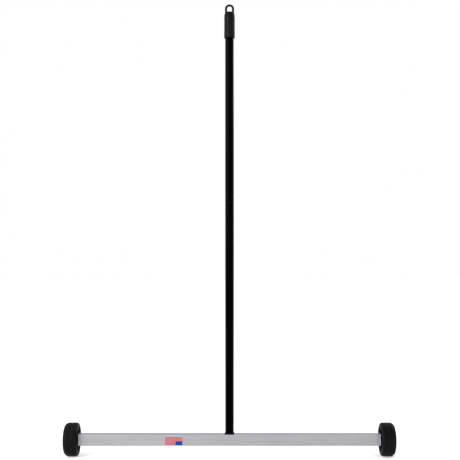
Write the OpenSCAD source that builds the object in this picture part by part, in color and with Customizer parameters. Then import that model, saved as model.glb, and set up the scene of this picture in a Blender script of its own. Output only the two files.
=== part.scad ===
// Push-type magnetic nail sweeper: an aluminium bar full of ceramic magnets rolls on two
// wheels, and a broom handle screws into the middle of it. X runs along the bar, -Y is the
// labelled front, +Z is up. The origin is on the floor, under the handle. Millimetres.

/* [Bar] */
// Length of the extruded aluminium housing
bar_len = 914.4; // [880:0.1:1200]
// Height of the housing
bar_h = 34.5; // [34:0.5:40]
// Depth of the housing, front to back
bar_d = 32; // [32:0.5:36]
// Wall thickness of the housing
wall = 3; // [2:0.1:3]
// Outer corner radius of the housing
corner_r = 1; // [0.8:0.1:2.4]
// Thickness of the end cap's flange outside the housing
cap_flange_t = 3; // [2:0.5:6]
// Length of the end cap's plug inside the housing
cap_plug_len = 20; // [18:1:24]

/* [Magnets] */
// Number of block magnets in the row
magnet_count = 17; // [10:1:17]
// Length of one block magnet
magnet_len = 50.8; // [40:0.1:51]
// Width of one block magnet, front to back
magnet_w = 25.4; // [18:0.1:25.8]
// Thickness of one block magnet
magnet_t = 9.5; // [8:0.1:10]
// Thickness of the steel backing bar above the magnets
backing_t = 4.8; // [3:0.1:5]

/* [Wheels] */
// Outer diameter of a wheel
wheel_d = 101.6; // [101:0.1:120]
// Width of a tyre
tyre_w = 43; // [43:0.5:48]
// Diameter of the rim that the tyre sits on
rim_d = 72; // [66:0.5:73]
// Radius of the tyre's outer shoulder
shoulder_r = 14; // [4:0.5:14]
// Radius of the tyre's inner shoulder, next to the bar
inner_shoulder_r = 7; // [3:0.5:14]
// Number of ribs on each face of a hub
hub_ribs = 6; // [3:1:8]
// Gap between the end cap and the tyre's inner face
tyre_gap = 1.5; // [1.5:0.1:8]
// Diameter of the axle bolt's plain shoulder
axle_d = 9.5; // [8:0.1:12]
// Radial clearance between the axle and the hub's bore
axle_clearance = 0.08; // [0.02:0.01:0.1]
// Play left along the axle on each side of a hub
end_play = 0.3; // [0.2:0.1:0.6]

/* [Handle] */
// Height of the top of the hang loop above the floor
handle_top = 1382; // [900:1:1600]
// Outer diameter of the steel handle tube
tube_od = 27; // [22:0.1:28]
// Wall thickness of the handle tube
tube_wall = 0.9; // [0.7:0.1:1.5]
// Diameter of the threaded end that screws into the bar
thread_d = 19.05; // [18:0.05:20]
// Length of the threaded end below its flange
thread_len = 18.5; // [12:0.5:18.5]
// Diameter of the washer under the handle
base_washer_d = 30; // [28:0.1:32]

/* [Grip] */
// Outer diameter of the grip
grip_d = 33; // [32:0.1:36]
// Length of the grip, with its hang loop
grip_len = 103; // [90:1:150]
// Outer width of the hang loop
loop_w = 28; // [26:0.5:30]
// Thickness of the hang loop, front to back
loop_t = 8; // [7:0.5:16]
// Width of the hang hole
hang_w = 14.6; // [12:0.1:18]
// Height of the hang hole
hang_h = 19; // [12:0.1:20]

/* [Label] */
// Length of the label on the front face
label_len = 54; // [30:1:80]
// Height of the label
label_h = 31; // [20:1:31]
// Place of the label's centre along the bar
label_x = -170; // [-300:1:300]

/* [Hidden] */
$fn = 96;

axle_z = wheel_d / 2;
bar_bottom = axle_z - bar_h / 2;
bar_top = axle_z + bar_h / 2;
roof = bar_top - wall;
inner_d = bar_d - 2 * wall;
inner_h = bar_h - 2 * wall;
inner_corner_r = 0.35;
eps = 0.01;

// End caps and the screws that hold them
cap_face = bar_len / 2 + cap_flange_t;
cap_fit = 0.1;
cap_screw_d = 4.2;
cap_screw_len = 12;
cap_screw_head = [8, 2.4];
cap_screw_in = 9;
cap_screw_dz = 9;

// Magnet stack
magnet_z = bar_bottom + wall;
backing_z = magnet_z + magnet_t;
magnet_row = magnet_count * magnet_len;
stack_top = backing_z + backing_t;
packing_gap = 0.1;

// Handle socket and its countersunk screws
socket_size = [60, magnet_w, roof - stack_top - 0.2];
socket_clearance = 0.075;
handle_hole_d = thread_d + 0.8;
socket_screw_x = 22;
socket_screw_d = 5;
socket_screw_head_d = 9.2;
socket_screw_len = 15;

// Wheels, measured along the axle from the tyre's inner face
tyre_in = cap_face + tyre_gap;
hub_in = 2.1;
hub_out = 34;
rim_t = 4.5;
rim_inset = 3;
web_t = 4;
web_at = 19;
rib_t = 3;
rib_in = 5;
rib_out = 33.5;
boss_d = 26;
washer_d = 18;
washer_t = 1.6;
axle_thread_d = 7.9;
axle_thread_len = 16;
axle_head_af = 14.3;
axle_head_t = 6;
axle_shoulder = tyre_in + hub_out + end_play + washer_t - cap_face;

// Handle
base_washer_t = 2;
tip_flange_d = 29;
tip_flange_t = 2.2;
tip_spigot_len = 40;
tip_top = bar_top + base_washer_t + tip_flange_t;
tip_chamfer = 1.5;
rivet_z = tip_top + 20;
rivet_d = 4.8;
rivet_head = [8, 1.4];

// Grip
grip_bottom = handle_top - grip_len;
hang_roof_t = 5.2;
hang_floor = handle_top - hang_roof_t - hang_h;
grip_lip = 0.7;
// Rounding of the grip's top, as steps in from its side and down from the hang hole's floor
grip_rounding = [[0, 18], [0.6, 9], [1.5, 3], [2.8, 0]];
grip_fit = 0.1;
tube_top = hang_floor - 4;
label_t = 0.2;

// Rounded rectangle centred on the origin
module rounded_rect(w, h, r) {
  square([w - 2 * r, h], center = true);
  square([w, h - 2 * r], center = true);
  for (x = [-1, 1], y = [-1, 1])
    translate([x * (w / 2 - r), y * (h / 2 - r)]) circle(r);
}

// Extrudes a bar section, drawn as depth by height, along X from x0 to x1
module along_bar(x0, x1) {
  translate([x0, 0, axle_z]) rotate([90, 0, 90]) linear_extrude(x1 - x0) children();
}

// Cylinder along X from x0 to x1, on the axle's line
module axle_cyl(x0, x1, d, fn = $fn) {
  translate([x0, 0, axle_z]) rotate([0, 90, 0]) cylinder(h = x1 - x0, d = d, $fn = fn);
}

// Cylinder along Y from y0 to y1
module cross_cyl(x, z, y0, y1, d) {
  translate([x, y0, z]) rotate([-90, 0, 0]) cylinder(h = y1 - y0, d = d);
}

// Draws the right-hand part as it is, and the left-hand one mirrored
module on_side(side) {
  if (side == "left") mirror([1, 0, 0]) children();
  else children();
}

// Places of the two screws that hold one end cap, seen from behind
module cap_screw_places() {
  for (dz = [-cap_screw_dz, cap_screw_dz])
    translate([bar_len / 2 - cap_screw_in, 0, axle_z + dz]) children();
}

// Countersunk screw that points down, with its head flush at z = 0
module countersunk(extra = 0) {
  sink = (socket_screw_head_d - socket_screw_d) / 2;
  translate([0, 0, -sink]) cylinder(h = sink, d1 = socket_screw_d, d2 = socket_screw_head_d);
  translate([0, 0, -socket_screw_len]) cylinder(h = socket_screw_len - sink + eps, d = socket_screw_d);
  if (extra > 0) cylinder(h = extra, d = socket_screw_head_d);
}

module socket_screw_places() {
  for (x = [-socket_screw_x, socket_screw_x]) translate([x, 0, bar_top]) children();
}

module housing() {
  color([0.72, 0.72, 0.74])
  difference() {
    along_bar(-bar_len / 2, bar_len / 2)
      difference() {
        rounded_rect(bar_d, bar_h, corner_r);
        rounded_rect(inner_d, inner_h, inner_corner_r);
      }
    translate([0, 0, roof - eps]) cylinder(h = wall + 2 * eps, d = handle_hole_d);
    socket_screw_places() countersunk(extra = 1);
    for (side = ["left", "right"]) on_side(side) cap_screw_places()
      cross_cyl(0, 0, inner_d / 2 - 1, bar_d / 2 + 1, cap_screw_d);
  }
}

module end_cap(side) {
  color([0.80, 0.80, 0.82])
  on_side(side) difference() {
    union() {
      along_bar(bar_len / 2, cap_face) rounded_rect(bar_d, bar_h, corner_r);
      along_bar(bar_len / 2 - cap_plug_len, bar_len / 2 + eps)
        rounded_rect(inner_d - 2 * cap_fit, inner_h - 2 * cap_fit, inner_corner_r);
    }
    axle_cyl(cap_face - axle_thread_len, cap_face + 1, axle_thread_d);
    cap_screw_places()
      cross_cyl(0, 0, bar_d / 2 - cap_screw_len, bar_d / 2, cap_screw_d);
  }
}

// Two pan-head screws through the rear wall
module cap_screws(side) {
  color([0.55, 0.55, 0.58])
  on_side(side) cap_screw_places() union() {
    cross_cyl(0, 0, bar_d / 2 - cap_screw_len, bar_d / 2 + eps, cap_screw_d);
    difference() {
      translate([0, bar_d / 2, 0]) rotate([-90, 0, 0])
        cylinder(h = cap_screw_head[1], d1 = cap_screw_head[0], d2 = cap_screw_head[0] - 2);
      for (turn = [0, 90]) translate([0, bar_d / 2 + cap_screw_head[1], 0])
        rotate([0, turn, 0]) cube([4, 2, 0.9], center = true);
    }
  }
}

module magnet(i) {
  color([0.16, 0.16, 0.17])
  translate([(i - 1) * magnet_len - magnet_row / 2, -magnet_w / 2, magnet_z])
    cube([magnet_len, magnet_w, magnet_t]);
}

module backing_bar() {
  color([0.45, 0.46, 0.48])
  translate([-magnet_row / 2, -magnet_w / 2, backing_z]) cube([magnet_row, magnet_w, backing_t]);
}

// Foam strip that keeps the magnets down on the floor of the housing
module packing_strip(side) {
  x0 = socket_size[0] / 2 + 2;
  x1 = bar_len / 2 - cap_plug_len - 1;
  color([0.30, 0.30, 0.31])
  on_side(side) translate([x0, -magnet_w / 2, stack_top])
    cube([x1 - x0, magnet_w, roof - stack_top - packing_gap]);
}

// Steel block under the top wall, bored for the handle's thread
module handle_socket() {
  color([0.60, 0.61, 0.63])
  difference() {
    translate([-socket_size[0] / 2, -socket_size[1] / 2, roof - socket_size[2]]) cube(socket_size);
    translate([0, 0, roof - socket_size[2] - 1])
      cylinder(h = socket_size[2] + 2, d = thread_d + 2 * socket_clearance);
    socket_screw_places() countersunk();
  }
}

module socket_screws() {
  color([0.60, 0.60, 0.62])
  socket_screw_places() difference() {
    countersunk();
    for (turn = [0, 90]) rotate([0, 0, turn]) cube([4.6, 1.1, 2.4], center = true);
  }
}

module front_label() {
  color([0.80, 0.20, 0.24])
  translate([label_x - label_len / 2, -bar_d / 2 - label_t, axle_z - label_h / 2])
    cube([label_len, label_t, label_h]);
}

// Hexagon-head shoulder bolt that screws into the end cap and carries the wheel
module axle_bolt(side) {
  shoulder_end = cap_face + axle_shoulder;
  color([0.70, 0.70, 0.72])
  on_side(side) union() {
    axle_cyl(cap_face - axle_thread_len, cap_face + eps, axle_thread_d);
    axle_cyl(cap_face, shoulder_end + eps, axle_d);
    axle_cyl(shoulder_end, shoulder_end + axle_head_t, axle_head_af / cos(30), fn = 6);
  }
}

// Ring round the axle's shoulder
module axle_ring(x0, x1) {
  difference() {
    axle_cyl(x0, x1, washer_d);
    axle_cyl(x0 - 1, x1 + 1, axle_d);
  }
}

module spacer(side) {
  color([0.12, 0.12, 0.12])
  on_side(side) axle_ring(cap_face, tyre_in + hub_in - end_play);
}

module washer(side) {
  color([0.70, 0.70, 0.72])
  on_side(side) axle_ring(cap_face + axle_shoulder - washer_t, cap_face + axle_shoulder);
}

// Section of the hub, drawn as radius by distance from the tyre's inner face
module hub_section() {
  bore_r = axle_d / 2 + axle_clearance;
  rim_r = rim_d / 2;
  translate([bore_r, hub_in]) square([boss_d / 2 - bore_r, hub_out - hub_in]);
  translate([boss_d / 2 - 1, web_at]) square([rim_r - boss_d / 2, web_t]);
  translate([rim_r - rim_t, rim_inset]) square([rim_t, tyre_w - 2 * rim_inset]);
}

module hub(side) {
  color([0.17, 0.17, 0.18])
  on_side(side) translate([tyre_in, 0, axle_z]) rotate([0, 90, 0]) union() {
    rotate_extrude() hub_section();
    for (i = [0:hub_ribs - 1]) rotate([0, 0, i * 360 / hub_ribs])
      translate([boss_d / 2 - 1, -rib_t / 2, rib_in])
        cube([rim_d / 2 - rim_t - boss_d / 2 + 2, rib_t, rib_out - rib_in]);
  }
}

// Section of the tyre: flat tread between two round shoulders, with plain side walls
module tyre_section() {
  r = wheel_d / 2;
  flat_w = tyre_w - inner_shoulder_r - shoulder_r;
  translate([rim_d / 2, inner_shoulder_r]) square([r - rim_d / 2, flat_w]);
  translate([rim_d / 2, 0]) square([r - inner_shoulder_r - rim_d / 2, tyre_w / 2]);
  translate([rim_d / 2, tyre_w / 2]) square([r - shoulder_r - rim_d / 2, tyre_w / 2]);
  intersection() {
    union() {
      translate([r - inner_shoulder_r, inner_shoulder_r]) circle(inner_shoulder_r);
      translate([r - shoulder_r, tyre_w - shoulder_r]) circle(shoulder_r);
    }
    translate([rim_d / 2, 0]) square([r - rim_d / 2, tyre_w]);
  }
}

module tyre(side) {
  color([0.13, 0.13, 0.14])
  on_side(side) translate([tyre_in, 0, axle_z]) rotate([0, 90, 0]) rotate_extrude() tyre_section();
}

module base_washer() {
  color([0.08, 0.08, 0.08])
  translate([0, 0, bar_top]) difference() {
    cylinder(h = base_washer_t, d = base_washer_d);
    translate([0, 0, -1]) cylinder(h = base_washer_t + 2, d = handle_hole_d);
  }
}

// Moulded end of the handle: threaded pin, flange and spigot, turned about Z
module handle_tip() {
  pin_r = thread_d / 2;
  pin_top = bar_top + base_washer_t;
  color([0.09, 0.09, 0.09])
  difference() {
    union() {
      translate([0, 0, pin_top - thread_len]) cylinder(h = tip_chamfer, r1 = pin_r - tip_chamfer, r2 = pin_r);
      translate([0, 0, pin_top - thread_len + tip_chamfer])
        cylinder(h = thread_len - tip_chamfer + eps, r = pin_r);
      translate([0, 0, pin_top]) cylinder(h = tip_flange_t, d = tip_flange_d);
      translate([0, 0, tip_top - eps]) cylinder(h = tip_spigot_len + eps, d = tube_od - 2 * tube_wall);
    }
    cross_cyl(0, rivet_z, 0, tube_od, rivet_d);
  }
}

module tip_rivet() {
  color([0.10, 0.10, 0.10])
  union() {
    cross_cyl(0, rivet_z, 0, tube_od / 2 + eps, rivet_d);
    translate([0, tube_od / 2, rivet_z]) rotate([-90, 0, 0])
      cylinder(h = rivet_head[1], d1 = rivet_head[0], d2 = rivet_head[0] - 3);
  }
}

module handle_tube() {
  color([0.05, 0.05, 0.05])
  difference() {
    translate([0, 0, tip_top]) cylinder(h = tube_top - tip_top, d = tube_od);
    translate([0, 0, tip_top - 1]) cylinder(h = tube_top - tip_top + 2, d = tube_od - 2 * tube_wall);
    cross_cyl(0, rivet_z, 0, tube_od, rivet_d);
  }
}

// Outline of the hang loop: straight sides under a half circle that ends at z = 0
module arch(w, h) {
  translate([-w / 2, -h]) square([w, h - w / 2]);
  translate([0, -w / 2]) circle(d = w);
}

module grip() {
  r = grip_d / 2;
  loop_root = hang_floor - 6;
  color([0.11, 0.11, 0.11])
  difference() {
    union() {
      rotate_extrude() polygon(concat(
        [[0, grip_bottom], [r - grip_lip, grip_bottom], [r, grip_bottom + grip_lip]],
        [for (step = grip_rounding) [r - step[0], hang_floor - step[1]]],
        [[0, hang_floor]]
      ));
      translate([0, loop_t / 2, handle_top]) rotate([90, 0, 0]) linear_extrude(loop_t)
        arch(loop_w, handle_top - loop_root);
    }
    translate([0, 0, grip_bottom - 1]) cylinder(h = tube_top - grip_bottom + 1, d = tube_od + grip_fit);
    translate([0, loop_w, handle_top - hang_roof_t]) rotate([90, 0, 0]) linear_extrude(2 * loop_w)
      arch(hang_w, hang_h);
  }
}

housing();
for (side = ["left", "right"]) {
  end_cap(side);
  cap_screws(side);
  packing_strip(side);
  axle_bolt(side);
  spacer(side);
  washer(side);
  hub(side);
  tyre(side);
}
for (i = [1:magnet_count]) magnet(i);
backing_bar();
handle_socket();
socket_screws();
front_label();
base_washer();
handle_tip();
tip_rivet();
handle_tube();
grip();
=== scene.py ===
from math import atan2, cos, degrees, hypot, pi, radians, sin, tan, tau

import bmesh
import bpy
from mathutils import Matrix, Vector


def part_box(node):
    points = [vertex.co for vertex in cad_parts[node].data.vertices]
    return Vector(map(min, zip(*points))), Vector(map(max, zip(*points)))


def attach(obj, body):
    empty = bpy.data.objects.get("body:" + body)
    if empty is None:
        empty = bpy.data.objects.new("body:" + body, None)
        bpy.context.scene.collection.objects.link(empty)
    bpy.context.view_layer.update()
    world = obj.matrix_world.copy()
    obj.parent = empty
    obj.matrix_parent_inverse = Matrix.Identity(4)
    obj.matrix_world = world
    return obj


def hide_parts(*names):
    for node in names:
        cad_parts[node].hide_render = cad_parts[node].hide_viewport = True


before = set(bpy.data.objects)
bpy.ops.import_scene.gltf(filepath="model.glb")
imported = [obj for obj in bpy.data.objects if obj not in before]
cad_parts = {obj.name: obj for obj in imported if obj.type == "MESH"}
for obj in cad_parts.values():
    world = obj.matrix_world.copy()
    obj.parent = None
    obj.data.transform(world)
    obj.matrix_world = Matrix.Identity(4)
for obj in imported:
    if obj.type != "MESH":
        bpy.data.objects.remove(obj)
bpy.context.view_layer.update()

# Camera and studio -------------------------------------------------------------------------
# The sweeper stands upright on a plain white floor in a bright white room, lit by a broad
# soft light from the upper left and a weaker one from behind.
eye_back, eye_height = 2.65, 0.613
lens = bpy.data.cameras.new("camera")
lens.lens = 67.71
lens.sensor_width = 36
lens.shift_x = 0.001
lens.shift_y = 0.0559
camera = bpy.data.objects.new("camera", lens)
camera.location = (0, -eye_back, eye_height)
camera.rotation_euler = (pi / 2, 0, 0)
bpy.context.scene.collection.objects.link(camera)
bpy.context.scene.camera = camera
bpy.context.scene.view_settings.view_transform = "Standard"


def add_node(tree, kind, inputs=None, **settings):
    """Adds a shader node; an input given as a socket is linked, and any other is a value."""
    made = tree.nodes.new("ShaderNode" + kind)
    for name, value in settings.items():
        setattr(made, name, value)
    for name, value in (inputs or {}).items():
        if isinstance(value, bpy.types.NodeSocket):
            tree.links.new(value, made.inputs[name])
        else:
            made.inputs[name].default_value = value
    return made


room = bpy.data.worlds.new("white_room")
room.use_nodes = True
bpy.context.scene.world = room
room.node_tree.nodes["Background"].inputs["Color"].default_value = (1.0, 1.0, 1.0, 1.0)
room.node_tree.nodes["Background"].inputs["Strength"].default_value = 1.0

lit_point = Vector((0, 0, 0.4))
for name, place, width, power in (
    ("soft_light_left", (-2.0, -1.9, 1.5), 1.2, 70),
    ("soft_light_behind", (2.4, 2.2, 2.4), 1.6, 40),
):
    glow = bpy.data.lights.new(name, "AREA")
    glow.size = width
    glow.energy = power
    stand = bpy.data.objects.new(name, glow)
    stand.location = place
    stand.rotation_euler = (lit_point - Vector(place)).to_track_quat("-Z", "Y").to_euler()
    bpy.context.scene.collection.objects.link(stand)


def new_material(name, **values):
    """A principled material, with constant values set on the shader's own sockets."""
    made = bpy.data.materials.new(name)
    made.use_nodes = True
    shader = made.node_tree.nodes["Principled BSDF"]
    for socket, value in values.items():
        shader.inputs[socket.replace("_", " ").title().replace("Ior", "IOR")].default_value = value
    return made, made.node_tree, shader


def ramp(tree, factor, stops):
    """A colour ramp over (position, grey or colour) stops."""
    made = add_node(tree, "ValToRGB", {"Fac": factor})
    band = made.color_ramp.elements
    while len(band) < len(stops):
        band.new(1.0)
    for element, (position, tone) in zip(band, stops):
        element.position = position
        element.color = (*((tone,) * 3 if isinstance(tone, float) else tone), 1.0)
    return made.outputs["Color"]


def stretched_noise(tree, scale, detail=4.0, stretch=(1, 1, 1), roughness=0.5):
    """Noise on the piece's own coordinates, in cycles per metre, drawn out by stretch."""
    place = add_node(tree, "TexCoord").outputs["Object"]
    spread = add_node(tree, "Mapping", {"Vector": place, "Scale": stretch})
    settings = {"Vector": spread.outputs[0], "Scale": scale, "Detail": detail, "Roughness": roughness}
    return add_node(tree, "TexNoise", settings).outputs["Fac"]


def deselect():
    bpy.ops.object.select_all(action="DESELECT")


deselect()
floor_width = 40
bpy.ops.mesh.primitive_plane_add(size=floor_width)
floor = bpy.context.object
floor.name = "floor"
white_floor, tree, shader = new_material("white_floor", roughness=0.8, specular_ior_level=0.1,
                                         emission_color=(1, 1, 1, 1), emission_strength=0.26)
paint = ramp(tree, stretched_noise(tree, 0.6, 2.0), [(0.3, 0.88), (0.7, 0.92)])
tree.links.new(paint, shader.inputs["Base Color"])
floor.data.materials.append(white_floor)


# Housing -----------------------------------------------------------------------------------
# An extruded aluminium box section in mill finish. The die leaves fine straight lines along
# it, and handling leaves a faint cloudiness on top of them.
def dress(made, *names):
    """Gives CAD nodes this material."""
    for name in names:
        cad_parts[name].material_slots[0].material = made


def bump(tree, shader, height, strength, distance):
    """Raises the surface by a height pattern, up to a distance in metres."""
    raised = add_node(tree, "Bump", {"Height": height, "Strength": strength, "Distance": distance})
    tree.links.new(raised.outputs["Normal"], shader.inputs["Normal"])


mill_aluminium, tree, shader = new_material("mill_aluminium", metallic=1.0)
die_lines = stretched_noise(tree, 1.0, 5.0, stretch=(1.5, 700, 700), roughness=0.6)
clouds = stretched_noise(tree, 9.0, 3.0, stretch=(1, 3, 3))
streaks = stretched_noise(tree, 1.0, 3.0, stretch=(2.5, 130, 130))
tone = add_node(tree, "Math", {0: clouds, 1: streaks}, operation="MULTIPLY").outputs[0]
tree.links.new(ramp(tree, tone, [(0.1, (0.295, 0.295, 0.308)), (0.42, (0.345, 0.345, 0.360))]),
               shader.inputs["Base Color"])
tree.links.new(ramp(tree, die_lines, [(0.3, 0.30), (0.7, 0.42)]), shader.inputs["Roughness"])
bump(tree, shader, die_lines, 0.25, 0.00008)
dress(mill_aluminium, "housing")


# End caps ----------------------------------------------------------------------------------
# Die-cast aluminium plugs with a tumbled finish: a flange outside and a block inside the
# bar's end, held by two pan-head screws through the rear wall.
cast_aluminium, tree, shader = new_material("cast_aluminium", metallic=1.0)
grain = stretched_noise(tree, 1400.0, 3.0)
blotches = stretched_noise(tree, 120.0, 3.0)
tree.links.new(ramp(tree, blotches, [(0.3, (0.60, 0.60, 0.62)), (0.7, (0.70, 0.70, 0.72))]),
               shader.inputs["Base Color"])
tree.links.new(ramp(tree, grain, [(0.3, 0.40), (0.7, 0.55)]), shader.inputs["Roughness"])
bump(tree, shader, grain, 0.3, 0.0001)
dress(cast_aluminium, "left_end_cap", "right_end_cap")

zinc_plate, tree, shader = new_material("zinc_plate", metallic=1.0)
mottle = stretched_noise(tree, 500.0, 3.0)
tree.links.new(ramp(tree, mottle, [(0.3, (0.50, 0.51, 0.53)), (0.7, (0.66, 0.66, 0.65))]),
               shader.inputs["Base Color"])
tree.links.new(ramp(tree, mottle, [(0.3, 0.25), (0.7, 0.40)]), shader.inputs["Roughness"])
dress(zinc_plate, "left_cap_screws", "right_cap_screws", "socket_screws")


# Magnets, backing bar and packing ----------------------------------------------------------
# Sintered ferrite blocks in a row on the bar's floor, under a rolled steel strip that closes
# the magnetic circuit, with foam strips that keep the stack from rattling.
ferrite, tree, shader = new_material("ferrite", roughness=0.7)
grit = stretched_noise(tree, 2500.0, 4.0)
tree.links.new(ramp(tree, grit, [(0.3, (0.018, 0.018, 0.02)), (0.75, (0.05, 0.05, 0.052))]),
               shader.inputs["Base Color"])
bump(tree, shader, grit, 0.4, 0.0001)
dress(ferrite, *[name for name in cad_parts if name.startswith("magnet_")])

rolled_steel, tree, shader = new_material("rolled_steel", metallic=1.0)
scale_marks = stretched_noise(tree, 60.0, 5.0, stretch=(0.3, 1, 1))
tree.links.new(ramp(tree, scale_marks, [(0.3, (0.20, 0.20, 0.21)), (0.7, (0.34, 0.34, 0.35))]),
               shader.inputs["Base Color"])
tree.links.new(ramp(tree, scale_marks, [(0.3, 0.55), (0.7, 0.38)]), shader.inputs["Roughness"])
dress(rolled_steel, "backing_bar", "handle_socket")

foam, tree, shader = new_material("foam", roughness=0.95)
place = add_node(tree, "TexCoord").outputs["Object"]
cells = add_node(tree, "TexVoronoi", {"Vector": place, "Scale": 900.0}).outputs["Distance"]
tree.links.new(ramp(tree, cells, [(0.1, (0.03, 0.03, 0.032)), (0.7, (0.07, 0.07, 0.073))]),
               shader.inputs["Base Color"])
bump(tree, shader, cells, 0.6, 0.0004)
dress(foam, "left_packing_strip", "right_packing_strip")


# Front label -------------------------------------------------------------------------------
# A printed vinyl sticker with rounded corners on the front face: a plain red field with a
# plain blue block in its lower right corner, under a pale grey strip.
def edit(piece):
    """Makes the piece the only one selected, and opens it in edit mode with all selected."""
    deselect()
    piece.select_set(True)
    bpy.context.view_layer.objects.active = piece
    bpy.ops.object.mode_set(mode="EDIT")
    bpy.ops.mesh.select_mode(type="VERT")
    bpy.ops.mesh.select_all(action="SELECT")


def choose(kind, test):
    """In edit mode, selects just the vertices, edges or faces whose middle passes the test."""
    bpy.ops.mesh.select_mode(type=kind)
    bpy.ops.mesh.select_all(action="DESELECT")
    shape = bmesh.from_edit_mesh(bpy.context.object.data)
    for item in {"VERT": shape.verts, "EDGE": shape.edges, "FACE": shape.faces}[kind]:
        corners = [item] if kind == "VERT" else item.verts
        middle = sum((corner.co for corner in corners), Vector()) / len(corners)
        if test(item, middle):
            item.select_set(True)
    bmesh.update_edit_mesh(bpy.context.object.data)


def finish(piece, name, made, body, slot, *nodes, angle=35):
    """Closes a piece's modelling: applied, smooth, named, painted, and riding on its body."""
    if bpy.context.mode != "OBJECT":
        bpy.ops.object.mode_set(mode="OBJECT")
    deselect()
    piece.select_set(True)
    bpy.context.view_layer.objects.active = piece
    bpy.ops.object.transform_apply(location=True, rotation=True, scale=True)
    bpy.ops.object.shade_smooth_by_angle(angle=radians(angle))
    piece.name = name
    piece.data.materials.clear()
    piece.data.materials.append(made)
    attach(piece, body)
    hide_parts(*nodes)
    return piece


low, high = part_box("front_label")
corner_round, film_edge = 0.003, 0.00006
deselect()
bpy.ops.mesh.primitive_cube_add(size=1, location=(low + high) / 2, scale=high - low)
label = bpy.context.object
bpy.ops.object.transform_apply(location=True, rotation=True, scale=True)
edit(label)
choose("EDGE", lambda edge, middle: abs(edge.verts[0].co.y - edge.verts[1].co.y) > 0.0001)
bpy.ops.mesh.bevel(offset=corner_round, segments=8, affect="EDGES")
choose("FACE", lambda face, middle: face.normal.y < -0.9)
bpy.ops.mesh.inset(thickness=film_edge, depth=0.0)
vinyl, tree, shader = new_material("printed_vinyl", roughness=0.45, specular_ior_level=0.15)
place = add_node(tree, "TexCoord").outputs["Object"]
axes = add_node(tree, "SeparateXYZ", {0: place})


def inside(tree, value, start, end, soft=0.00015):
    """1 between start and end and 0 outside, with soft edges."""
    rise = add_node(tree, "MapRange", {0: value, 1: start - soft, 2: start + soft})
    fall = add_node(tree, "MapRange", {0: value, 1: end - soft, 2: end + soft, 3: 1.0, 4: 0.0})
    return add_node(tree, "Math", {0: rise.outputs[0], 1: fall.outputs[0]}, operation="MULTIPLY").outputs[0]


border, header = 0.0006, 0.0045
block_width, block_height = 0.0215, 0.0125
print_x = inside(tree, axes.outputs["X"], low.x + border, high.x - border)
print_z = inside(tree, axes.outputs["Z"], low.z + border, high.z - header)
printed = add_node(tree, "Math", {0: print_x, 1: print_z}, operation="MULTIPLY").outputs[0]
block_x = inside(tree, axes.outputs["X"], high.x - block_width, high.x)
block_z = inside(tree, axes.outputs["Z"], low.z - border, low.z + block_height)
block = add_node(tree, "Math", {0: block_x, 1: block_z}, operation="MULTIPLY").outputs[0]
ink_grain = stretched_noise(tree, 3000.0, 2.0)
red = ramp(tree, ink_grain, [(0.3, (0.33, 0.105, 0.130)), (0.7, (0.39, 0.125, 0.155))])
blue = ramp(tree, ink_grain, [(0.3, (0.008, 0.016, 0.13)), (0.7, (0.014, 0.024, 0.17))])
inks = add_node(tree, "Mix", {0: block, 6: red, 7: blue}, data_type="RGBA").outputs[2]
paper = ramp(tree, ink_grain, [(0.3, (0.27, 0.30, 0.34)), (0.7, (0.31, 0.34, 0.38))])
face = add_node(tree, "Mix", {0: printed, 6: paper, 7: inks}, data_type="RGBA").outputs[2]
tree.links.new(face, shader.inputs["Base Color"])
finish(label, "label_sticker", vinyl, "chassis", "label_film", "front_label")


# Tyres -------------------------------------------------------------------------------------
# Solid black rubber rings, moulded with round shoulders, two shallow grooves in the tread and
# a sunk panel round each side wall, and pressed onto the rims of the hubs.
def rounded(corners, steps=6):
    """An outline of (a, b, radius) corners, with each corner that has a radius made an arc."""
    points = []
    for here, (a, b, radius) in enumerate(corners):
        corner = Vector((a, b))
        if not radius:
            points.append(corner)
            continue
        before = (Vector(corners[here - 1][:2]) - corner).normalized()
        after = (Vector(corners[(here + 1) % len(corners)][:2]) - corner).normalized()
        half = before.angle(after) / 2
        middle = corner + (before + after).normalized() * radius / sin(half)
        start = corner + before * radius / tan(half) - middle
        sweep = -start.angle_signed(corner + after * radius / tan(half) - middle)
        for step in range(steps + 1):
            turn = sweep * step / steps
            points.append(middle + Vector((start.x * cos(turn) - start.y * sin(turn),
                                           start.x * sin(turn) + start.y * cos(turn))))
    return points


def draw_outline(points):
    """A closed wire outline, drawn corner by corner from one vertex, left in edit mode."""
    deselect()
    bpy.ops.mesh.primitive_plane_add(size=0.001)
    drawn = bpy.context.object
    edit(drawn)
    bpy.ops.mesh.merge(type="CENTER")
    bpy.ops.transform.translate(value=points[0])
    for here, there in zip(points, [*points[1:], points[0]]):
        bpy.ops.mesh.extrude_region_move(TRANSFORM_OT_translate={"value": Vector(there) - Vector(here)})
    bpy.ops.mesh.select_all(action="SELECT")
    bpy.ops.mesh.remove_doubles(threshold=1e-6)
    return drawn


def turn_on_x(corners, centre_z, steps, arc_steps=6):
    """A ring or disc turned about an axis along X, from a section of (x, radius, round) corners."""
    section = [(x, 0, centre_z + radius) for x, radius in rounded(corners, arc_steps)]
    turned = draw_outline(section)
    bpy.ops.mesh.spin(steps=steps, angle=tau, center=(0, 0, centre_z), axis=(1, 0, 0))
    bpy.ops.mesh.select_all(action="SELECT")
    bpy.ops.mesh.remove_doubles(threshold=1e-6)
    bpy.ops.mesh.normals_make_consistent(inside=False)
    return turned


def mirrored(piece):
    """A copy of the piece for the other end of the bar, with its own mesh."""
    if bpy.context.mode != "OBJECT":
        bpy.ops.object.mode_set(mode="OBJECT")
    deselect()
    piece.select_set(True)
    bpy.context.view_layer.objects.active = piece
    bpy.ops.object.duplicate()
    twin = bpy.context.object
    twin.scale.x = -1
    bpy.ops.object.transform_apply(location=True, rotation=True, scale=True)
    edit(twin)
    bpy.ops.mesh.normals_make_consistent(inside=False)
    bpy.ops.object.mode_set(mode="OBJECT")
    return twin


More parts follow.
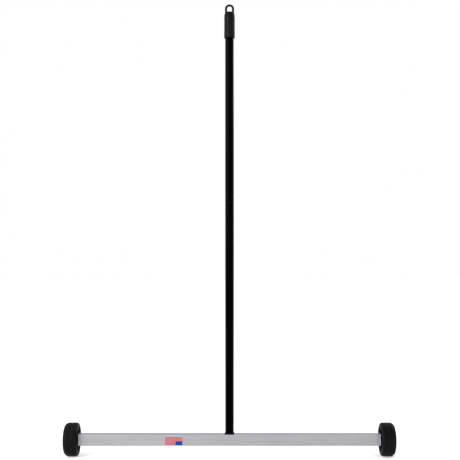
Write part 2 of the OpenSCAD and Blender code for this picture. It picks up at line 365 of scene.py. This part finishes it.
low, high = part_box("right_tyre")
hub_low, hub_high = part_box("right_hub")
axle_z = (low.z + high.z) / 2
tread_radius = (high.z - low.z) / 2
seat_radius = (hub_high.z - hub_low.z) / 2
shoulder, inner_shoulder = 0.014, 0.007
groove_depth, groove_width, groove_from_shoulder = 0.0010, 0.0016, 0.0022
bead_round, lip_round, groove_round, groove_slope = 0.0006, 0.0004, 0.0003, 0.0003
panel_from_seat, panel_margin, panel_slope, panel_depth = 0.001, 0.0013, 0.0004, 0.0006


def tyre_section():
    """Corners of the tyre's section, with its two tread grooves."""
    corners = [(low.x, seat_radius, bead_round), (low.x, tread_radius, inner_shoulder)]
    for edge in (low.x + inner_shoulder + groove_from_shoulder,
                 high.x - shoulder - groove_from_shoulder - groove_width):
        floor_start, floor_end = edge + groove_slope, edge + groove_width - groove_slope
        groove_floor = tread_radius - groove_depth
        corners += [(edge, tread_radius, lip_round), (floor_start, groove_floor, groove_round),
                    (floor_end, groove_floor, groove_round),
                    (edge + groove_width, tread_radius, lip_round)]
    return corners + [(high.x, tread_radius, shoulder), (high.x, seat_radius, bead_round)]


tyre = turn_on_x(tyre_section(), axle_z, 144, arc_steps=8)
for side in (-1, 1):
    choose("FACE", lambda face, middle: face.normal.x * side > 0.999
           and hypot(middle.y, middle.z - axle_z) > seat_radius + panel_from_seat)
    bpy.ops.mesh.inset(thickness=panel_margin, depth=0.0)
    bpy.ops.mesh.inset(thickness=panel_slope, depth=-panel_depth)

rubber, tree, shader = new_material("tyre_rubber", specular_ior_level=0.05)
fine = stretched_noise(tree, 1800.0, 3.0)
bloom = stretched_noise(tree, 45.0, 4.0)
tree.links.new(ramp(tree, bloom, [(0.3, (0.0022, 0.0022, 0.0024)), (0.75, (0.0055, 0.0055, 0.0057))]),
               shader.inputs["Base Color"])
tree.links.new(ramp(tree, bloom, [(0.3, 0.50), (0.75, 0.66)]), shader.inputs["Roughness"])
bump(tree, shader, fine, 0.35, 0.00012)
left_tyre = mirrored(tyre)
finish(tyre, "right_tyre_ring", rubber, "right_wheel", "tyre_rubber", "right_tyre")
finish(left_tyre, "left_tyre_ring", rubber, "left_wheel", "tyre_rubber", "left_tyre")


# Hubs --------------------------------------------------------------------------------------
# Injection-moulded black plastic wheels: a boss, a web and a rim, tied together by ribs, with
# a plain bore that runs on the axle bolt.
def select_only(piece):
    if bpy.context.mode != "OBJECT":
        bpy.ops.object.mode_set(mode="OBJECT")
    deselect()
    piece.select_set(True)
    bpy.context.view_layer.objects.active = piece


def combine(piece, tool, operation="UNION"):
    """Joins the tool to the piece, or cuts it out of the piece, and takes the tool away."""
    select_only(piece)
    bpy.ops.object.modifier_add(type="BOOLEAN")
    cut = piece.modifiers[-1]
    cut.object = tool
    cut.operation = operation
    cut.solver = "EXACT"
    bpy.ops.object.modifier_apply(modifier=cut.name)
    bpy.data.objects.remove(tool)


bolt_low, bolt_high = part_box("right_axle_bolt")
inner = low.x
boss_start, boss_end = inner + 0.0021, inner + 0.0340
rim_start, rim_end = hub_low.x + 0.0009, inner + 0.040
web_start, web_end = inner + 0.0190, inner + 0.0230
bore_radius, boss_radius, rim_radius = 0.00483, 0.013, seat_radius - 0.0045
rib_count, rib_thickness, rib_edge, rib_overlap = 6, 0.003, 0.0009, 0.001
bore_round, rim_round, boss_round, web_round = 0.0004, 0.0008, 0.0010, 0.0012
boss_taper, rim_taper = 0.0006, 0.0004
rib_start, rib_end = inner + 0.005, inner + 0.0335
boss_root, rim_root = boss_radius + boss_taper, rim_radius - rim_taper
hub = turn_on_x([
    (boss_start, bore_radius, bore_round), (boss_end, bore_radius, bore_round),
    (boss_end, boss_radius, boss_round), (web_end, boss_root, web_round),
    (web_end, rim_root, web_round), (rim_end, rim_radius, rim_round),
    (rim_end, seat_radius, rim_round), (rim_start, seat_radius, rim_round),
    (rim_start, rim_radius, rim_round), (web_start, rim_root, web_round),
    (web_start, boss_root, web_round), (boss_start, boss_radius, boss_round),
], axle_z, 120)
bpy.ops.object.mode_set(mode="OBJECT")
reach = (boss_radius + rim_radius) / 2
for count in range(rib_count):
    turn = tau * count / rib_count
    deselect()
    bpy.ops.mesh.primitive_cube_add(
        size=1, location=((rib_start + rib_end) / 2, reach * sin(turn), axle_z + reach * cos(turn)),
        rotation=(-turn, 0, 0),
        scale=(rib_end - rib_start, rib_thickness, rim_radius - boss_radius + 2 * rib_overlap))
    rib = bpy.context.object
    bpy.ops.object.transform_apply(location=True, rotation=True, scale=True)
    edit(rib)
    choose("EDGE", lambda edge, middle: abs(edge.verts[0].co.x - edge.verts[1].co.x) < 0.0001
           and (edge.verts[0].co - edge.verts[1].co).length > 0.01)
    bpy.ops.mesh.bevel(offset=rib_edge, segments=3, affect="EDGES")
    combine(hub, rib)

moulded_black, tree, shader = new_material("moulded_black_plastic", specular_ior_level=0.08)
pebble = stretched_noise(tree, 1200.0, 2.0)
flow = stretched_noise(tree, 60.0, 3.0)
tree.links.new(ramp(tree, flow, [(0.3, (0.005, 0.005, 0.0055)), (0.7, (0.009, 0.009, 0.0095))]),
               shader.inputs["Base Color"])
tree.links.new(ramp(tree, flow, [(0.3, 0.36), (0.7, 0.48)]), shader.inputs["Roughness"])
bump(tree, shader, pebble, 0.2, 0.00010)
left_hub = mirrored(hub)
finish(hub, "right_wheel_hub", moulded_black, "right_wheel", "hub_plastic", "right_hub")
finish(left_hub, "left_wheel_hub", moulded_black, "left_wheel", "hub_plastic", "left_hub")


# Axle bolts, washers and spacers -----------------------------------------------------------
# Zinc-plated shoulder bolts with a chamfered hexagon head screw into the end caps and carry
# the wheels, with a flat washer outside and a black nylon spacer inside each hub.
def cut_on_x(corners, name, made, slot, node):
    """A turned piece on the axle for each end of the bar."""
    right = turn_on_x(corners, axle_z, 72)
    left = mirrored(right)
    finish(right, "right_" + name, made, "chassis", slot, "right_" + node)
    finish(left, "left_" + name, made, "chassis", slot, "left_" + node)


shank_radius, shoulder_radius = 0.00395, 0.00475
head_height, washer_face, head_chamfer = 0.006, 0.0004, 0.0019
head_start = bolt_high.x - head_height
cap_face = inner - 0.0015
across_flats = 0.0143
thread_pitch, thread_depth, point_chamfer = 0.00125, 0.0007, 0.0006
bolt_corners = [(bolt_low.x, 0, 0), (bolt_low.x, shank_radius - point_chamfer, 0)]
turns = int((cap_face - bolt_low.x - 0.001) / thread_pitch)
for count in range(turns):
    ridge = bolt_low.x + (count + 0.5) * thread_pitch
    bolt_corners += [(ridge, shank_radius, 0),
                     (ridge + thread_pitch / 2, shank_radius - thread_depth, 0)]
face_radius = across_flats / 2 - 0.0002
bolt_corners += [(cap_face, shank_radius - thread_depth, 0), (cap_face, shoulder_radius, 0.0003),
                 (head_start, shoulder_radius, 0), (head_start, face_radius, 0),
                 (head_start + washer_face, face_radius, 0), (head_start + washer_face, 0, 0)]
bolt = turn_on_x(bolt_corners, axle_z, 60)
bpy.ops.object.mode_set(mode="OBJECT")
deselect()
hexagon_start = head_start + washer_face - 0.0001
bpy.ops.mesh.primitive_cylinder_add(
    vertices=6, radius=across_flats / 2 / cos(pi / 6), depth=bolt_high.x - hexagon_start,
    location=((hexagon_start + bolt_high.x) / 2, 0, axle_z), rotation=(0, pi / 2, 0))
head = bpy.context.object
bpy.ops.object.transform_apply(location=True, rotation=True, scale=True)
chamfer = turn_on_x([
    (head_start, 0, 0), (head_start, across_flats * 0.7, 0),
    (bolt_high.x - head_chamfer, across_flats * 0.62, 0),
    (bolt_high.x, across_flats / 2 - 0.0006, 0), (bolt_high.x, 0, 0)], axle_z, 72)
combine(head, chamfer, "INTERSECT")
combine(bolt, head)
left_bolt = mirrored(bolt)
finish(bolt, "right_shoulder_bolt", zinc_plate, "chassis", "zinc_steel", "right_axle_bolt")
finish(left_bolt, "left_shoulder_bolt", zinc_plate, "chassis", "zinc_steel", "left_axle_bolt")

washer_low, washer_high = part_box("right_washer")
ring_radius = (washer_high.z - washer_low.z) / 2
cut_on_x([(washer_low.x, shoulder_radius, 0.0002), (washer_high.x, shoulder_radius, 0.0002),
          (washer_high.x, ring_radius, 0.0004), (washer_low.x, ring_radius, 0.0004)],
         "flat_washer", zinc_plate, "zinc_steel", "washer")
spacer_low, spacer_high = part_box("right_spacer")
nylon, tree, shader = new_material("black_nylon", roughness=0.42, specular_ior_level=0.08)
sheen = stretched_noise(tree, 300.0, 2.0)
tree.links.new(ramp(tree, sheen, [(0.3, (0.002, 0.002, 0.002)), (0.7, (0.005, 0.005, 0.005))]),
               shader.inputs["Base Color"])
cut_on_x([(spacer_low.x, shoulder_radius, 0.0003), (spacer_high.x, shoulder_radius, 0.0003),
          (spacer_high.x, ring_radius, 0.0006), (spacer_low.x, ring_radius, 0.0006)],
         "nylon_spacer", nylon, "handle_plastic", "spacer")


# Handle tip and base washer ----------------------------------------------------------------
# A black moulded plug riveted into the tube's lower end. Below its flange is a coarse broom
# thread that screws into the bar, with a plain washer between the flange and the bar.
def turn_on_z(corners, steps, arc_steps=6):
    """A piece turned about the handle's axis, from a section of (radius, z, round) corners."""
    section = [(radius, 0, z) for radius, z in rounded(corners, arc_steps)]
    turned = draw_outline(section)
    bpy.ops.mesh.spin(steps=steps, angle=tau, center=(0, 0, 0), axis=(0, 0, 1))
    bpy.ops.mesh.select_all(action="SELECT")
    bpy.ops.mesh.remove_doubles(threshold=1e-6)
    bpy.ops.mesh.normals_make_consistent(inside=False)
    return turned


low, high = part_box("base_washer")
hole_radius = 0.00993
washer = turn_on_z([(hole_radius, low.z, 0.0003), (high.x, low.z, 0.0005), (high.x, high.z, 0.0007),
                    (hole_radius, high.z, 0.0003)], 96)
finish(washer, "handle_base_washer", nylon, "handle_washer", "handle_plastic", "base_washer")

tip_low, tip_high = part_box("handle_tip")
tube_low, tube_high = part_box("handle_tube")
flange_bottom = high.z
flange_top = tube_low.z
crest_radius, root_radius, pitch = 0.019 / 2, 0.0152 / 2, 0.00508
tube_wall = 0.0009
spigot_radius = tube_high.x - tube_wall
tip = turn_on_z([
    (0, tip_low.z, 0), (root_radius, tip_low.z, 0.0010), (root_radius, flange_bottom, 0.0006),
    (tip_high.x, flange_bottom, 0.0006), (tip_high.x, flange_top, 0.0008),
    (spigot_radius, flange_top, 0.0), (spigot_radius, tip_high.z, 0.0012), (0, tip_high.z, 0)], 72)
bpy.ops.object.mode_set(mode="OBJECT")
tooth_top, tooth_root, tooth_sink, plain_end = 0.0009, 0.0017, 0.0006, 0.0003
start_z = tip_low.z + tooth_root + plain_end
thread_turns = (flange_bottom - tooth_root - start_z) / pitch
thread = draw_outline([
    (root_radius - tooth_sink, 0, start_z - tooth_root), (crest_radius, 0, start_z - tooth_top),
    (crest_radius, 0, start_z + tooth_top), (root_radius - tooth_sink, 0, start_z + tooth_root)])
bpy.ops.object.mode_set(mode="OBJECT")
bpy.ops.object.modifier_add(type="SCREW")
helix = thread.modifiers[-1]
helix.axis = "Z"
helix.angle = -tau * thread_turns
helix.screw_offset = pitch * thread_turns
helix.steps = helix.render_steps = int(72 * thread_turns)
helix.use_merge_vertices = False
bpy.ops.object.modifier_apply(modifier=helix.name)
edit(thread)
bpy.ops.mesh.remove_doubles(threshold=1e-6)
bpy.ops.mesh.select_mode(type="EDGE")
bpy.ops.mesh.select_all(action="DESELECT")
bpy.ops.mesh.select_non_manifold()
bpy.ops.mesh.fill_holes(sides=8)
bpy.ops.mesh.select_all(action="SELECT")
bpy.ops.mesh.normals_make_consistent(inside=False)
combine(tip, thread)
finish(tip, "threaded_handle_tip", nylon, "handle", "handle_plastic", "handle_tip", angle=40)


# Handle tube and rivet ---------------------------------------------------------------------
# A thin steel tube with a satin black powder coat, slightly orange-peeled, and the blind
# rivet at the back that holds the tip in it.
powder_coat, tree, shader = new_material("black_powder_coat", metallic=1.0)
peel = stretched_noise(tree, 420.0, 2.0)
rub = stretched_noise(tree, 12.0, 4.0, stretch=(1, 1, 0.25))
tree.links.new(ramp(tree, rub, [(0.3, (0.0008, 0.0008, 0.0009)), (0.75, (0.0018, 0.0018, 0.0019))]),
               shader.inputs["Base Color"])
tree.links.new(ramp(tree, rub, [(0.3, 0.26), (0.75, 0.36)]), shader.inputs["Roughness"])
bump(tree, shader, peel, 0.12, 0.00015)
dress(powder_coat, "handle_tube", "tip_rivet")


# Grip --------------------------------------------------------------------------------------
# A black plastic grip pushed over the tube's upper end: shallow flutes along it, a collar at
# the bottom, and a flat arched loop on top with a D-shaped hole to hang it by.
low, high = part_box("grip")
grip_radius = high.x
tube_radius = tube_high.x
roof_thickness, hole_height = 0.0052, 0.0190
hole_floor = high.z - roof_thickness - hole_height
hole_roof = high.z - roof_thickness
bore_gap, groove_round, groove_depth = 0.00015, 0.0003, 0.0009
groove_bottom, groove_top, groove_slope = low.z + 0.0038, low.z + 0.0062, 0.0006
collar_top = low.z + 0.0150
flute_bottom, flute_top = collar_top + 0.002, high.z - 0.046
groove_radius = grip_radius - groove_depth
flute_count, spokes = 16, 96
body_corners = [
    (tube_radius + bore_gap, low.z, 0.0005), (grip_radius - 0.0001, low.z, 0.0006),
    (grip_radius, low.z + 0.0030, 0), (grip_radius, groove_bottom, groove_round),
    (groove_radius, groove_bottom + groove_slope, groove_round),
    (groove_radius, groove_top - groove_slope, groove_round),
    (grip_radius, groove_top, groove_round), (grip_radius, collar_top, 0)]
rows = 12
body_corners += [(grip_radius, flute_bottom + (flute_top - flute_bottom) * row / rows, 0)
                 for row in range(rows + 1)]
for inward, drop, round_radius in ((0, 0.0180, 0), (0.0006, 0.0090, 0.010),
                                   (0.0016, 0.0028, 0.003), (0.0034, 0, 0.0010)):
    body_corners.append((grip_radius - inward, hole_floor - drop, round_radius))
body_corners += [(0, hole_floor, 0), (0, tube_high.z, 0), (tube_radius + bore_gap, tube_high.z, 0)]
grip = turn_on_z(body_corners, spokes)
flute_pitch = spokes // flute_count


def spoke_place(vertex):
    """How many spokes a vertex lies from the middle of its nearest flute."""
    turn = (degrees(atan2(vertex.y, vertex.x)) / (360 / spokes)) % flute_pitch
    return round(min(turn, flute_pitch - turn))


flute_depth = 0.0009
for spoke, share in ((0, 1.0), (1, 0.75), (2, 0.25)):
    for inset_rows, end_share in ((0.5, 0.55), (1.5, 0.45)):
        margin = (flute_top - flute_bottom) / rows * inset_rows
        choose("VERT", lambda vertex, middle: spoke_place(middle) == spoke
               and hypot(middle.x, middle.y) > grip_radius - 0.0012
               and flute_bottom + margin < middle.z < flute_top - margin)
        shrink = 1 - flute_depth * share * end_share / grip_radius
        bpy.ops.transform.resize(value=(shrink, shrink, 1), center_override=(0, 0, 0))
bpy.ops.object.mode_set(mode="OBJECT")

loop_width, loop_thickness, loop_root = 0.028, 0.008, hole_floor - 0.006
hole_width, loop_edge = 0.0146, 0.0009


def arch(width, bottom, top, depth, steps=24):
    """A block with a half-round top, centred on the handle, that reaches depth each way in Y."""
    radius = width / 2
    points = [(-radius, -depth, bottom), (radius, -depth, bottom)]
    points += [(radius * cos(pi * step / steps), -depth, top - radius + radius * sin(pi * step / steps))
               for step in range(steps + 1)]
    block = draw_outline(points)
    bpy.ops.mesh.edge_face_add()
    bpy.ops.mesh.extrude_region_move(TRANSFORM_OT_translate={"value": (0, 2 * depth, 0)})
    bpy.ops.mesh.select_all(action="SELECT")
    bpy.ops.mesh.normals_make_consistent(inside=False)
    bpy.ops.object.mode_set(mode="OBJECT")
    return block


loop = arch(loop_width, loop_root, high.z, loop_thickness / 2)
combine(loop, arch(hole_width, hole_floor, hole_roof, loop_thickness), "DIFFERENCE")
select_only(loop)
bpy.ops.object.modifier_add(type="BEVEL")
loop.modifiers[-1].width = loop_edge
loop.modifiers[-1].segments = 4
loop.modifiers[-1].limit_method = "ANGLE"
bpy.ops.object.modifier_apply(modifier=loop.modifiers[-1].name)
combine(grip, loop)

grip_plastic, tree, shader = new_material("grip_plastic", specular_ior_level=0.08)
leather = stretched_noise(tree, 900.0, 3.0)
sweat = stretched_noise(tree, 25.0, 3.0)
tree.links.new(ramp(tree, sweat, [(0.3, (0.0020, 0.0020, 0.0023)), (0.7, (0.0045, 0.0045, 0.0048))]),
               shader.inputs["Base Color"])
tree.links.new(ramp(tree, sweat, [(0.3, 0.40), (0.7, 0.52)]), shader.inputs["Roughness"])
bump(tree, shader, leather, 0.18, 0.00012)
finish(grip, "fluted_grip", grip_plastic, "handle", "grip_plastic", "grip", angle=40)
